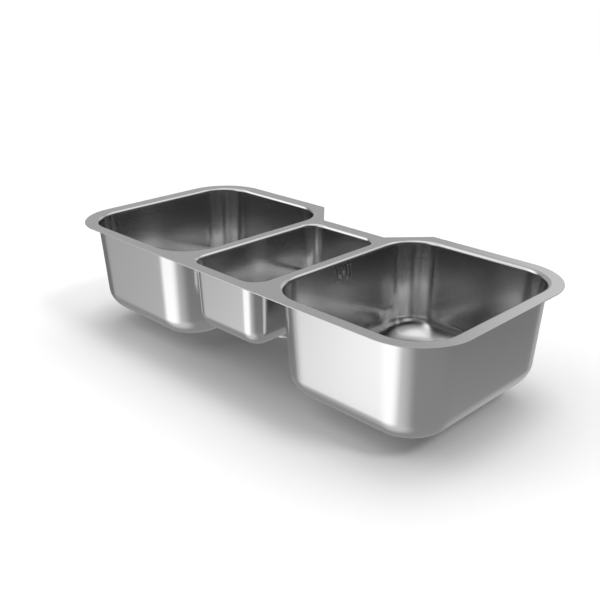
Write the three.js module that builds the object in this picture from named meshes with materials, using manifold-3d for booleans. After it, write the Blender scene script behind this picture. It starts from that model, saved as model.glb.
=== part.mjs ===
// Three bowl undermount kitchen sink in pressed stainless steel, with a basket strainer in each bowl
// and an overflow in the right bowl. Millimetres, +Z up. The origin is the middle of the footprint,
// on the plane that the two side bowls' cups stand on; -Y is the front edge, +X the right-hand bowl.
import * as THREE from 'three';
import { mergeVertices } from 'three/addons/utils/BufferGeometryUtils.js';
import Module from 'manifold-3d';

const wasm = await Module();
wasm.setup();

// Deck: the flat flange that is bonded under the worktop.
const OVERALL_LENGTH = 1000;
const OVERALL_DEPTH = 474;
const OUTER_CORNER_RADIUS = 110;
const NOTCH_DEPTH = 76;
const NOTCH_WIDTH_AT_EDGE = 313;
const NOTCH_WIDTH_INSIDE = 172;
const FLANGE_MARGIN = 30;
const BRIDGE_WIDTH = 27;
const SHEET = 1.2;

// Bowls: sizes of the visible inner surface, taken at the bowl wall just under the rolled rim.
const RIM_ROLL_RADIUS = 8;
const MIDDLE_BOWL_WIDTH = 184;
const SIDE_BOWL_DEPTH = 204;
const MIDDLE_BOWL_DEPTH = 142;
const SIDE_CORNER_RADIUS = 80;
const MIDDLE_CORNER_RADIUS = 33;
const SIDE_WALL_DRAFT = 3.4;
const MIDDLE_WALL_DRAFT = 2.3;
const SIDE_FLOOR_FILLET = 48;
const MIDDLE_FLOOR_FILLET = 39;
const FLOOR_FALL = 2;
// How much of the draft and fillet a bowl's corner radius gives up on the way down.
const CORNER_SHRINK_SHARE = 0.5;

// Drain recess pressed into each bowl floor, and the strainer cup that hangs in it.
const RECESS_RADIUS = 61;
const RECESS_FLOOR_RADIUS = 58.5;
const RECESS_DEPTH = 4;
const RECESS_REACH = 6;
const DRAIN_HOLE_RADIUS = 45;
const CUP_RADIUS = 43;
const CUP_FLANGE_RADIUS = 57;
const CUP_SHEET = 1.2;
const CUP_HEIGHT = 32;
const CUP_BOTTOM_FILLET = 6;
const CUP_THROAT_RADIUS = 3.2;
const OUTLET_RADIUS = 21;
const OUTLET_HUB_RADIUS = 7;
const OUTLET_SPOKE_WIDTH = 5;

// Clamping parts of each strainer.
const GASKET_THICKNESS = 1.5;
const GASKET_INNER_RADIUS = 46.5;
const GASKET_OUTER_RADIUS = 56;
const BACKING_THICKNESS = 2;
const BACKING_OUTER_RADIUS = 55;
const NUT_HEIGHT = 8;
const NUT_RADIUS = 50.5;
const NUT_LUG_RADIUS = 54.5;
const NUT_LUG_ANGLE = 18;
const NUT_LUGS = 6;

// Lift-out basket with its stopper and knob.
const BASKET_SHEET = 0.8;
const BASKET_FLOOR_RADIUS = 32;
const BASKET_TOP_RADIUS = 39;
const BASKET_HEIGHT = 21;
const BASKET_LIP = 1.6;
const BASKET_FLOOR_HOLES = 12;
const BASKET_FLOOR_HOLE_RADIUS = 2;
const BASKET_FLOOR_HOLE_CIRCLE = 28;
const BASKET_SLOTS = 16;
const BASKET_SLOT_WIDTH = 3;
const BASKET_SLOT_HEIGHT = 11;
const STOPPER_RADIUS = 25;
const STOPPER_THICKNESS = 4;
const STOPPER_LIP = 1.2;
const POST_RADIUS = 3;
const KNOB_RADIUS = 8;
const KNOB_HEIGHT = 6;
const KNOB_BELOW_FLOOR = 2;

// Overflow: four upright slots and a screw in the inner wall of the right bowl, with a moulded
// housing behind them.
const SLOT_PITCH = 9.2;
const SLOT_WIDTH = 5;
const SLOT_HEIGHT = 29;
const OVERFLOW_DEPTH = 27.4;
const HOUSING_HALF_HEIGHT = 18;
const HOUSING_HALF_STRAIGHT = 16;
const HOUSING_WALL = 2.5;
const HOUSING_DEPTH = 16;
const OVERFLOW_GASKET_THICKNESS = 2.5;
const BOSS_RADIUS = 4.6;
const SPIGOT_RADIUS = 7.5;
const SPIGOT_WALL = 2;
const SPIGOT_LENGTH = 22;
const SCREW_RADIUS = 2.5;
const SCREW_HEAD_RADIUS = 3.8;
const SCREW_HEAD_HEIGHT = 2.2;
const SCREW_HOLE_CLEARANCE = 0.4;
const SCREW_GRIP = 9;

// One clearance between pieces that seat on each other, and one overrun for cutting tools.
const SEAT_GAP = 0.3;
const CUT_OVERRUN = 3;

// Facet counts.
const CORNER_STEPS = 8;
const ROLL_STEPS = 4;
const FILLET_STEPS = 6;
const RECESS_STEPS = 36;
const ROUND_STEPS = 24;
const SMALL_ROUND_STEPS = 12;
const HOLE_STEPS = 6;

// Heights that follow from the sizes above.
const FLANGE_TOP = SIDE_BOWL_DEPTH + FLOOR_FALL + CUP_HEIGHT;
const FRONT_EDGE = -OVERALL_DEPTH / 2;
const REAR_EDGE = OVERALL_DEPTH / 2;
const SIDE_BOWL_WIDTH = (OVERALL_LENGTH - MIDDLE_BOWL_WIDTH) / 2 - FLANGE_MARGIN - BRIDGE_WIDTH;
const SIDE_BOWL_CENTRE = (MIDDLE_BOWL_WIDTH + SIDE_BOWL_WIDTH) / 2 + BRIDGE_WIDTH;

const radians = THREE.MathUtils.degToRad;
const steelLook = { color: 0xb9bbbc, metalness: 1, roughness: 0.34 };
const finishes = {
  deck: new THREE.MeshStandardMaterial({ ...steelLook, name: 'deck_steel' }),
  bowl: new THREE.MeshStandardMaterial({ ...steelLook, name: 'bowl_steel', roughness: 0.3 }),
  strainer: new THREE.MeshStandardMaterial({ name: 'strainer_steel', color: 0xc8cacb, metalness: 1, roughness: 0.2 }),
  nut: new THREE.MeshStandardMaterial({ name: 'nut_steel', color: 0x8f9294, metalness: 1, roughness: 0.45 }),
  rubber: new THREE.MeshStandardMaterial({ name: 'black_rubber', color: 0x1c1c1d, metalness: 0, roughness: 0.85 }),
  plastic: new THREE.MeshStandardMaterial({ name: 'housing_plastic', color: 0xe2e2e0, metalness: 0, roughness: 0.55 }),
};

// The three bowls: centre of the plan, plan size, depth, corner, wall draft and floor fillet.
const bowls = {
  left: {
    x: -SIDE_BOWL_CENTRE, rear: REAR_EDGE - FLANGE_MARGIN, width: SIDE_BOWL_WIDTH, depth: SIDE_BOWL_DEPTH,
    corner: SIDE_CORNER_RADIUS, draft: radians(SIDE_WALL_DRAFT), fillet: SIDE_FLOOR_FILLET,
  },
  middle: {
    x: 0, rear: REAR_EDGE - NOTCH_DEPTH - FLANGE_MARGIN, width: MIDDLE_BOWL_WIDTH, depth: MIDDLE_BOWL_DEPTH,
    corner: MIDDLE_CORNER_RADIUS, draft: radians(MIDDLE_WALL_DRAFT), fillet: MIDDLE_FLOOR_FILLET,
  },
  right: {
    x: SIDE_BOWL_CENTRE, rear: REAR_EDGE - FLANGE_MARGIN, width: SIDE_BOWL_WIDTH, depth: SIDE_BOWL_DEPTH,
    corner: SIDE_CORNER_RADIUS, draft: radians(SIDE_WALL_DRAFT), fillet: SIDE_FLOOR_FILLET,
  },
};
for (const bowl of Object.values(bowls)) {
  const front = FRONT_EDGE + FLANGE_MARGIN;
  bowl.length = bowl.rear - front;
  bowl.y = (bowl.rear + front) / 2;
}

// A ring of points round a rounded rectangle, counter-clockwise, with one arc per corner.
function rectangleRing(width, length, radius, z) {
  const ring = [];
  const cornerX = width / 2 - radius;
  const cornerY = length / 2 - radius;
  const corners = [[cornerX, cornerY], [-cornerX, cornerY], [-cornerX, -cornerY], [cornerX, -cornerY]];
  corners.forEach(([x, y], quarter) => {
    for (let step = 0; step <= CORNER_STEPS; step += 1) {
      const angle = (quarter + step / CORNER_STEPS) * (Math.PI / 2);
      ring.push(new THREE.Vector3(x + radius * Math.cos(angle), y + radius * Math.sin(angle), z));
    }
  });
  return ring;
}

// A ring of as many points round a circle, so that it can be lofted to a rectangle ring.
function circleRing(radius, z) {
  const count = 4 * (CORNER_STEPS + 1);
  return Array.from({ length: count }, (unused, index) => {
    const angle = ((index + 1 / 2) / count) * 2 * Math.PI;
    return new THREE.Vector3(radius * Math.cos(angle), radius * Math.sin(angle), z);
  });
}

// Joins each ring to the next, from the top one down, and closes both ends with a flat face.
function loft(rings) {
  const count = rings[0].length;
  const positions = rings.flat().flatMap((point) => point.toArray());
  const index = [];
  for (let here = 0; here < (rings.length - 1) * count; here += count) {
    const next = here + count;
    for (let i = 0; i < count; i += 1) {
      const j = (i + 1) % count;
      index.push(here + i, next + i, next + j, here + i, next + j, here + j);
    }
  }
  const last = (rings.length - 1) * count;
  for (let i = 1; i < count - 1; i += 1) {
    index.push(0, i, i + 1, last, last + i + 1, last + i);
  }
  const geometry = new THREE.BufferGeometry();
  geometry.setAttribute('position', new THREE.Float32BufferAttribute(positions, 3));
  geometry.setIndex(index);
  geometry.computeVertexNormals();
  return geometry;
}

// A solid of revolution about Z. The profile is [radius, z] pairs that close on themselves or end
// on the axis.
function turned(profile, steps = ROUND_STEPS) {
  const points = profile.map(([radius, z]) => new THREE.Vector2(radius, z));
  return new THREE.LatheGeometry(points, steps).rotateX(Math.PI / 2);
}

// Points along an arc in a turned profile, from one angle to another in degrees.
function arc(centreRadius, centreZ, radius, from, to, steps) {
  return Array.from({ length: steps + 1 }, (unused, step) => {
    const angle = radians(from + ((to - from) * step) / steps);
    return [centreRadius + radius * Math.cos(angle), centreZ + radius * Math.sin(angle)];
  });
}

function washer(innerRadius, outerRadius, top, thickness) {
  const low = top - thickness;
  return turned([
    [innerRadius, low], [outerRadius, low], [outerRadius, top], [innerRadius, top], [innerRadius, low],
  ]);
}

function toSolid(geometry) {
  const bare = geometry.clone();
  bare.deleteAttribute('normal');
  bare.deleteAttribute('uv');
  const merged = mergeVertices(bare);
  return new wasm.Manifold(new wasm.Mesh({
    numProp: 3,
    vertProperties: Float32Array.from(merged.attributes.position.array),
    triVerts: Uint32Array.from(merged.index.array),
  }));
}

function toGeometry(solid) {
  const mesh = solid.getMesh();
  const geometry = new THREE.BufferGeometry();
  geometry.setAttribute('position', new THREE.Float32BufferAttribute(mesh.vertProperties, mesh.numProp));
  geometry.setIndex(Array.from(mesh.triVerts));
  geometry.computeVertexNormals();
  return geometry;
}

// Cuts every tool out of a geometry.
function cut(geometry, tools) {
  return toGeometry(tools.reduce((solid, tool) => solid.subtract(toSolid(tool)), toSolid(geometry)));
}

function piece(name, geometry, finish) {
  const mesh = new THREE.Mesh(geometry, finish);
  mesh.name = name;
  return mesh;
}

// The side profile of a bowl: insets from the wall line, heights below the flange top, and the
// direction in which the visible face looks.
function bowlProfile({ depth, draft, fillet }, rollSteps) {
  const cos = Math.cos(draft);
  const sin = Math.sin(draft);
  const points = [];
  for (let step = 0; step <= rollSteps; step += 1) {
    const angle = Math.PI / 2 + ((draft - Math.PI / 2) * step) / rollSteps;
    const across = Math.cos(angle);
    const up = Math.sin(angle);
    points.push({ inset: RIM_ROLL_RADIUS * (across - 1), z: RIM_ROLL_RADIUS * (up - 1), across, up });
  }
  const rollEnd = points[points.length - 1];
  const centreZ = fillet - depth;
  const filletTop = centreZ - fillet * sin;
  const centreInset = rollEnd.inset + (rollEnd.z - filletTop) * Math.tan(draft) + fillet * cos;
  for (let step = 0; step <= FILLET_STEPS; step += 1) {
    const angle = draft + ((Math.PI / 2 - draft) * step) / FILLET_STEPS;
    const across = Math.cos(angle);
    const up = Math.sin(angle);
    points.push({ inset: centreInset - fillet * across, z: centreZ - fillet * up, across, up });
  }
  return points;
}

// The space inside one face of a bowl, closed at the rim's top and at the floor. Skin is how far
// the face lies outside the visible one: nothing for the inner face, the sheet for the outer one.
function bowlBlock(bowl, skin, rollSteps, top) {
  const rim = 2 * RIM_ROLL_RADIUS;
  const rings = [rectangleRing(bowl.width + rim, bowl.length + rim, bowl.corner + RIM_ROLL_RADIUS, top)];
  for (const { inset, z, across, up } of bowlProfile(bowl, rollSteps)) {
    const shrink = inset > 0 ? CORNER_SHRINK_SHARE * inset : inset;
    const face = inset - skin * across;
    rings.push(rectangleRing(
      bowl.width - 2 * face, bowl.length - 2 * face, bowl.corner - shrink + skin * across, z - skin * up,
    ));
  }
  rings.push(circleRing(DRAIN_HOLE_RADIUS, -bowl.depth - FLOOR_FALL - skin));
  return loft(rings);
}

// The space inside one face of the drain recess. Its side goes on up past the floor, because in
// the middle bowl the recess is wider than the flat of the floor and bites into the fillets.
function recessBlock(floor, skin) {
  const low = floor - RECESS_DEPTH - skin;
  return turned([
    [0, low],
    [RECESS_FLOOR_RADIUS + skin, low],
    [RECESS_RADIUS + skin, floor - skin],
    [RECESS_RADIUS + skin, floor + RECESS_REACH],
    [0, floor + RECESS_REACH],
  ], RECESS_STEPS);
}

function bowlShell(bowl) {
  const floor = -bowl.depth - FLOOR_FALL;
  const outer = toSolid(bowlBlock(bowl, SHEET, ROLL_STEPS / 2, 0)).add(toSolid(recessBlock(floor, SHEET)));
  const drainHole = turned([
    [0, floor - RECESS_DEPTH - SHEET - CUT_OVERRUN],
    [DRAIN_HOLE_RADIUS, floor - RECESS_DEPTH - SHEET - CUT_OVERRUN],
    [DRAIN_HOLE_RADIUS, floor],
    [0, floor],
  ], RECESS_STEPS);
  return cut(toGeometry(outer), [bowlBlock(bowl, 0, ROLL_STEPS, CUT_OVERRUN), recessBlock(floor, 0), drainHole]);
}

// Traces a rounded rectangle on a path with the same corner arcs as a bowl's rim.
function traceRectangle(path, x, y, width, length, radius) {
  const cornerX = width / 2 - radius;
  const cornerY = length / 2 - radius;
  path.moveTo(x + cornerX + radius, y - cornerY);
  path.absarc(x + cornerX, y + cornerY, radius, 0, Math.PI / 2);
  path.absarc(x - cornerX, y + cornerY, radius, Math.PI / 2, Math.PI);
  path.absarc(x - cornerX, y - cornerY, radius, Math.PI, 1.5 * Math.PI);
  path.absarc(x + cornerX, y - cornerY, radius, 1.5 * Math.PI, 2 * Math.PI);
  return path;
}

// The deck: an outline with four round corners and a rear notch for the tap, less the bowl rims.
function deckPlate() {
  const cornerX = OVERALL_LENGTH / 2 - OUTER_CORNER_RADIUS;
  const cornerY = OVERALL_DEPTH / 2 - OUTER_CORNER_RADIUS;
  const outline = new THREE.Shape();
  outline.absarc(cornerX, -cornerY, OUTER_CORNER_RADIUS, 1.5 * Math.PI, 2 * Math.PI);
  outline.absarc(cornerX, cornerY, OUTER_CORNER_RADIUS, 0, Math.PI / 2);
  outline.lineTo(NOTCH_WIDTH_AT_EDGE / 2, REAR_EDGE);
  outline.lineTo(NOTCH_WIDTH_INSIDE / 2, REAR_EDGE - NOTCH_DEPTH);
  outline.lineTo(-NOTCH_WIDTH_INSIDE / 2, REAR_EDGE - NOTCH_DEPTH);
  outline.lineTo(-NOTCH_WIDTH_AT_EDGE / 2, REAR_EDGE);
  outline.absarc(-cornerX, cornerY, OUTER_CORNER_RADIUS, Math.PI / 2, Math.PI);
  outline.absarc(-cornerX, -cornerY, OUTER_CORNER_RADIUS, Math.PI, 1.5 * Math.PI);
  const rim = RIM_ROLL_RADIUS + SEAT_GAP;
  for (const { x, y, width, length, corner } of Object.values(bowls)) {
    const hole = new THREE.Path();
    outline.holes.push(traceRectangle(hole, x, y, width + 2 * rim, length + 2 * rim, corner + rim));
  }
  const plate = new THREE.ExtrudeGeometry(outline, {
    depth: SHEET, bevelEnabled: false, curveSegments: CORNER_STEPS / 2,
  });
  return plate.translate(0, 0, FLANGE_TOP - SHEET);
}

// Heights in a drain, from the bowl floor at the rim of the recess.
const gasketTop = -RECESS_DEPTH + SEAT_GAP + GASKET_THICKNESS;
const cupFlangeLow = gasketTop + SEAT_GAP;
const backingTop = -RECESS_DEPTH - SHEET - SEAT_GAP;
const nutTop = backingTop - BACKING_THICKNESS - SEAT_GAP;
const cupFloor = -CUP_HEIGHT + CUP_SHEET;
const stopperLow = cupFloor + SEAT_GAP;
const basketLow = stopperLow + STOPPER_THICKNESS + SEAT_GAP;
const basketFloor = basketLow + BASKET_SHEET;
const basketTop = basketLow + BASKET_HEIGHT;

// The strainer's cup: a flange on the recess, a round throat, a straight wall and a flat bottom
// with four outlets round a hub.
function drainCup() {
  const inside = CUP_RADIUS - CUP_SHEET;
  const flangeTop = cupFlangeLow + CUP_SHEET;
  const throat = CUP_THROAT_RADIUS;
  const bend = CUP_BOTTOM_FILLET;
  const shell = turned([
    [0, cupFloor],
    ...arc(inside - bend + CUP_SHEET, cupFloor + bend - CUP_SHEET, bend - CUP_SHEET, -90, 0, 3),
    ...arc(inside + throat, flangeTop - throat, throat, 180, 90, 2),
    [CUP_FLANGE_RADIUS, flangeTop],
    [CUP_FLANGE_RADIUS, cupFlangeLow],
    ...arc(inside + throat, flangeTop - throat, throat - CUP_SHEET, 90, 180, 2),
    ...arc(CUP_RADIUS - bend, -CUP_HEIGHT + bend, bend, 0, -90, 3),
    [0, -CUP_HEIGHT],
  ].reverse());
  const outlets = [0, 1, 2, 3].map((quarter) => {
    const sector = new THREE.Shape();
    const outerTurn = Math.asin(OUTLET_SPOKE_WIDTH / 2 / OUTLET_RADIUS);
    const innerTurn = Math.asin(OUTLET_SPOKE_WIDTH / 2 / OUTLET_HUB_RADIUS);
    sector.absarc(0, 0, OUTLET_RADIUS, outerTurn, Math.PI / 2 - outerTurn);
    sector.absarc(0, 0, OUTLET_HUB_RADIUS, Math.PI / 2 - innerTurn, innerTurn, true);
    const tool = new THREE.ExtrudeGeometry(sector, {
      depth: CUP_SHEET + 2 * CUT_OVERRUN, bevelEnabled: false, curveSegments: 2,
    });
    return tool.rotateZ((quarter * Math.PI) / 2).translate(0, 0, -CUP_HEIGHT - CUT_OVERRUN);
  });
  return cut(shell, outlets);
}

// The ring nut that pulls the cup down: round inside, with lugs for a spanner outside.
function lockNut() {
  const outline = new THREE.Shape();
  const pitch = (2 * Math.PI) / NUT_LUGS;
  const lug = radians(NUT_LUG_ANGLE);
  for (let i = 0; i < NUT_LUGS; i += 1) {
    outline.absarc(0, 0, NUT_LUG_RADIUS, i * pitch - lug / 2, i * pitch + lug / 2);
    outline.absarc(0, 0, NUT_RADIUS, i * pitch + lug / 2, (i + 1) * pitch - lug / 2);
  }
  const ring =new THREE.ExtrudeGeometry(outline, { depth: NUT_HEIGHT, bevelEnabled: false, curveSegments: 2 });
  ring.translate(0, 0, nutTop - NUT_HEIGHT);
  const tool = turned([
    [0, nutTop - NUT_HEIGHT - CUT_OVERRUN],
    [CUP_RADIUS + SEAT_GAP, nutTop - NUT_HEIGHT - CUT_OVERRUN],
    [CUP_RADIUS + SEAT_GAP, nutTop + CUT_OVERRUN],
    [0, nutTop + CUT_OVERRUN],
  ]);
  return cut(ring, [tool]);
}

// The basket: a tapered cup of thin sheet with a turned-out lip, round holes in its floor and
// upright slots in its wall.
function basket() {
  const bore = POST_RADIUS + SEAT_GAP;
  const lip = BASKET_TOP_RADIUS + BASKET_LIP;
  const shell = turned([
    [bore, basketLow],
    [BASKET_FLOOR_RADIUS, basketLow],
    [BASKET_TOP_RADIUS, basketTop - BASKET_SHEET],
    [lip, basketTop - BASKET_SHEET],
    [lip, basketTop],
    [BASKET_TOP_RADIUS - BASKET_SHEET, basketTop],
    [BASKET_FLOOR_RADIUS - BASKET_SHEET, basketFloor],
    [bore, basketFloor],
    [bore, basketLow],
  ]);
  const holes = Array.from({ length: BASKET_FLOOR_HOLES }, (unused, index) => {
    const angle = (index / BASKET_FLOOR_HOLES) * 2 * Math.PI;
    const drill = new THREE.CylinderGeometry(
      BASKET_FLOOR_HOLE_RADIUS, BASKET_FLOOR_HOLE_RADIUS, BASKET_SHEET + 2 * CUT_OVERRUN, HOLE_STEPS,
    );
    return drill.rotateX(Math.PI / 2).translate(BASKET_FLOOR_HOLE_CIRCLE, 0, basketLow).rotateZ(angle);
  });
  const slots = Array.from({ length: BASKET_SLOTS }, (unused, index) => {
    const angle = ((index + 1 / 2) / BASKET_SLOTS) * 2 * Math.PI;
    const span = BASKET_TOP_RADIUS - BASKET_FLOOR_RADIUS + BASKET_SHEET + 2 * CUT_OVERRUN;
    const slot = new THREE.BoxGeometry(span, BASKET_SLOT_WIDTH, BASKET_SLOT_HEIGHT);
    const middle = (BASKET_TOP_RADIUS + BASKET_FLOOR_RADIUS - BASKET_SHEET) / 2;
    return slot.translate(middle, 0, (basketLow + basketTop) / 2).rotateZ(angle);
  });
  return cut(shell, [...holes, ...slots]);
}

// The rubber disc under the basket, with a thin lip that closes on the cup's bottom.
function stopper() {
  const bore = POST_RADIUS + SEAT_GAP;
  const top = stopperLow + STOPPER_THICKNESS;
  return turned([
    [bore, stopperLow],
    [STOPPER_RADIUS, stopperLow],
    [STOPPER_RADIUS, stopperLow + STOPPER_LIP],
    [STOPPER_RADIUS - STOPPER_THICKNESS + STOPPER_LIP, top],
    [bore, top],
    [bore, stopperLow],
  ]);
}

// The post through stopper and basket, with its pull knob on top.
function knob() {
  const top = -KNOB_BELOW_FLOOR;
  const shoulder = top - KNOB_HEIGHT;
  const edge = KNOB_HEIGHT / 2;
  return turned([
    [0, stopperLow],
    [POST_RADIUS, stopperLow],
    [POST_RADIUS, shoulder],
    ...arc(KNOB_RADIUS - edge, shoulder + edge, edge, -90, 90, 4),
    [0, top],
  ], SMALL_ROUND_STEPS);
}

// Everything that hangs in one drain hole.
function drain(side, bowl) {
  const group = new THREE.Group();
  const gasket = washer(GASKET_INNER_RADIUS, GASKET_OUTER_RADIUS, gasketTop, GASKET_THICKNESS);
  const backing = washer(CUP_RADIUS + SEAT_GAP, BACKING_OUTER_RADIUS, backingTop, BACKING_THICKNESS);
  group.add(
    piece(`${side}_drain_gasket`, gasket, finishes.rubber),
    piece(`${side}_drain_cup`, drainCup(), finishes.strainer),
    piece(`${side}_backing_washer`, backing, finishes.rubber),
    piece(`${side}_lock_nut`, lockNut(), finishes.nut),
    piece(`${side}_basket`, basket(), finishes.strainer),
    piece(`${side}_stopper`, stopper(), finishes.rubber),
    piece(`${side}_knob`, knob(), finishes.strainer),
  );
  group.position.set(bowl.x, bowl.y, FLANGE_TOP - bowl.depth - FLOOR_FALL);
  return group;
}

// The overflow is laid out on the right bowl's inner wall, from the middle of its slots: Y runs
// along the wall, Z up it, and what lies behind the visible face has a negative X.
function stadium(halfHeight, halfStraight) {
  const outline = new THREE.Shape();
  outline.absarc(halfStraight, 0, halfHeight, -Math.PI / 2, Math.PI / 2);
  outline.absarc(-halfStraight, 0, halfHeight, Math.PI / 2, 1.5 * Math.PI);
  return outline;
}

// Stands an outline up on the wall, from one depth behind it to another.
function behindWall(outline, from, to) {
  const solid = new THREE.ExtrudeGeometry(outline, { depth: to - from, bevelEnabled: false, curveSegments: 4 });
  return solid.rotateX(Math.PI / 2).rotateZ(-Math.PI / 2).translate(-from, 0, 0);
}

function overflowSlots() {
  return [-2, -1, 1, 2].map((place) => {
    const outline = stadium(SLOT_WIDTH / 2, (SLOT_HEIGHT - SLOT_WIDTH) / 2);
    const tool = behindWall(outline, -CUT_OVERRUN, SHEET + CUT_OVERRUN).rotateX(Math.PI / 2);
    return tool.translate(0, place * SLOT_PITCH, 0);
  });
}

function overflowHousing() {
  const front = SHEET + OVERFLOW_GASKET_THICKNESS + 2 * SEAT_GAP;
  const back = front + HOUSING_DEPTH;
  const cavity = HOUSING_HALF_HEIGHT - HOUSING_WALL;
  const body = toSolid(behindWall(stadium(HOUSING_HALF_HEIGHT, HOUSING_HALF_STRAIGHT), front, back));
  const hollow = toSolid(behindWall(
    stadium(cavity, HOUSING_HALF_STRAIGHT), front - CUT_OVERRUN, back - HOUSING_WALL,
  ));
  const middle = -(front + back) / 2;
  const spigotLow = -HOUSING_HALF_HEIGHT - SPIGOT_LENGTH;
  const spigot = toSolid(turned([
    [0, spigotLow], [SPIGOT_RADIUS, spigotLow], [SPIGOT_RADIUS, -cavity], [0, -cavity],
  ], SMALL_ROUND_STEPS).translate(middle, 0, 0));
  const bore = toSolid(turned([
    [0, spigotLow - CUT_OVERRUN], [SPIGOT_RADIUS - SPIGOT_WALL, spigotLow - CUT_OVERRUN],
    [SPIGOT_RADIUS - SPIGOT_WALL, -cavity + CUT_OVERRUN], [0, -cavity + CUT_OVERRUN],
  ], SMALL_ROUND_STEPS).translate(middle, 0, 0));
  const boss = toSolid(alongWallDepth(BOSS_RADIUS, front, back - HOUSING_WALL / 2));
  const thread = toSolid(alongWallDepth(SCREW_RADIUS + SEAT_GAP, front - CUT_OVERRUN, front + SCREW_GRIP));
  return toGeometry(body.subtract(hollow).add(spigot).subtract(bore).add(boss).subtract(thread));
}

// A round bar that points into the wall, from one depth behind its visible face to another.
function alongWallDepth(radius, from, to) {
  return turned([[0, from], [radius, from], [radius, to], [0, to]], SMALL_ROUND_STEPS).rotateY(-Math.PI / 2);
}

function overflowGasket() {
  const front = SHEET + SEAT_GAP;
  const back = front + OVERFLOW_GASKET_THICKNESS;
  const cavity = HOUSING_HALF_HEIGHT - HOUSING_WALL;
  const pad = behindWall(stadium(HOUSING_HALF_HEIGHT, HOUSING_HALF_STRAIGHT), front, back);
  return cut(pad, [behindWall(stadium(cavity, HOUSING_HALF_STRAIGHT), front - CUT_OVERRUN, back + CUT_OVERRUN)]);
}

function overflowScrew() {
  const front = SHEET + OVERFLOW_GASKET_THICKNESS + 2 * SEAT_GAP;
  const tip = front + SCREW_GRIP - SEAT_GAP;
  const crown = SCREW_HEAD_HEIGHT / 2;
  return turned([
    [0, -SEAT_GAP - SCREW_HEAD_HEIGHT],
    [SCREW_HEAD_RADIUS - crown, -SEAT_GAP - SCREW_HEAD_HEIGHT],
    [SCREW_HEAD_RADIUS, -SEAT_GAP - crown],
    [SCREW_HEAD_RADIUS, -SEAT_GAP],
    [SCREW_RADIUS, -SEAT_GAP],
    [SCREW_RADIUS, tip],
    [0, tip],
  ], SMALL_ROUND_STEPS).rotateY(-Math.PI / 2);
}

// Places a geometry that is laid out on the wall on the wall of the right bowl, which leans by
// the draft, in the bowl's own frame with its zero at the flange top.
function ontoOverflowWall(object) {
  const { draft, width, y } = bowls.right;
  const rollEnd = RIM_ROLL_RADIUS * (Math.cos(draft) - 1);
  const straight = OVERFLOW_DEPTH - RIM_ROLL_RADIUS * (1 - Math.sin(draft));
  const inset = rollEnd + straight * Math.tan(draft);
  object.rotateY(-draft);
  return object.translate(inset - width / 2, -y, -OVERFLOW_DEPTH);
}

function rightBowlShell() {
  const screwHole = alongWallDepth(SCREW_RADIUS + SCREW_HOLE_CLEARANCE, -CUT_OVERRUN, SHEET + CUT_OVERRUN);
  return cut(bowlShell(bowls.right), [...overflowSlots(), screwHole].map(ontoOverflowWall));
}

const sink = new THREE.Group();
sink.add(piece('deck_flange', deckPlate(), finishes.deck));
for (const [side, bowl] of Object.entries(bowls)) {
  const shell = side === 'right' ? rightBowlShell() : bowlShell(bowl);
  const mesh = piece(`${side}_bowl`, shell, finishes.bowl);
  mesh.position.set(bowl.x, bowl.y, FLANGE_TOP);
  sink.add(mesh, drain(side, bowl));
}

const overflow = new THREE.Group();
overflow.add(
  piece('overflow_screw', ontoOverflowWall(overflowScrew()), finishes.strainer),
  piece('overflow_gasket', ontoOverflowWall(overflowGasket()), finishes.rubber),
  piece('overflow_housing', ontoOverflowWall(overflowHousing()), finishes.plastic),
);
overflow.position.set(bowls.right.x, bowls.right.y, FLANGE_TOP);
sink.add(overflow);

export default sink;
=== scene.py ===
# %% [markdown]
# # A three bowl sink in brushed stainless steel
#
# The sink is one flat deck with three pressed bowls welded into it. Each bowl drains through a
# strainer with a lift-out basket, and the right-hand bowl has an overflow. The sizes and places
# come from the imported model, which this script loads first and never changes. What is made here
# is the fine surface of each piece and its finish.

import math

import bmesh
import bpy
from mathutils import Matrix, Vector


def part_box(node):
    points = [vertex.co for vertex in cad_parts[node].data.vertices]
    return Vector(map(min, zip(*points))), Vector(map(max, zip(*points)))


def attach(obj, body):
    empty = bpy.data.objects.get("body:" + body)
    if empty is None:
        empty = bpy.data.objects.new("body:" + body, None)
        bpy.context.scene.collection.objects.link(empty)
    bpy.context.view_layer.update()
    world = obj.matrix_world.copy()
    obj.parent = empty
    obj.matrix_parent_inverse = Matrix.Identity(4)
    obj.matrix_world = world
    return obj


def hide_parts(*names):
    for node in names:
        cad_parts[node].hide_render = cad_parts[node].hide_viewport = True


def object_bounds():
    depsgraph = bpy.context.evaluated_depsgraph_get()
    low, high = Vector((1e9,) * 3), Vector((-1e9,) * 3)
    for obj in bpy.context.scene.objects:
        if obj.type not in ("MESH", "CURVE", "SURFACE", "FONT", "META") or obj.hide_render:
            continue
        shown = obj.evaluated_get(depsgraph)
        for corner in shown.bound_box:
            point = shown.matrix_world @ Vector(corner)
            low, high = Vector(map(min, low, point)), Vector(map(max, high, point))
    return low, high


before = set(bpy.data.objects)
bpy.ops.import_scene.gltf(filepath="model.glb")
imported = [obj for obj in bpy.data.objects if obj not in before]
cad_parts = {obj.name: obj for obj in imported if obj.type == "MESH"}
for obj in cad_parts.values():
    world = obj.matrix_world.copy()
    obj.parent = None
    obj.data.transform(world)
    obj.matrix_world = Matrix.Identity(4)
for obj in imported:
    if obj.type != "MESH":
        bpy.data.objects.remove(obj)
cad_low, cad_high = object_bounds()
print("the sink measures", [round(size, 4) for size in cad_high - cad_low])

# %% [markdown]
# ## Sizes
#
# Sheet metal is described by the face that is seen and by the sheet's thickness. The sizes below
# are in metres. Those that the frame can give, such as the bowls' places, are read from it.

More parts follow.
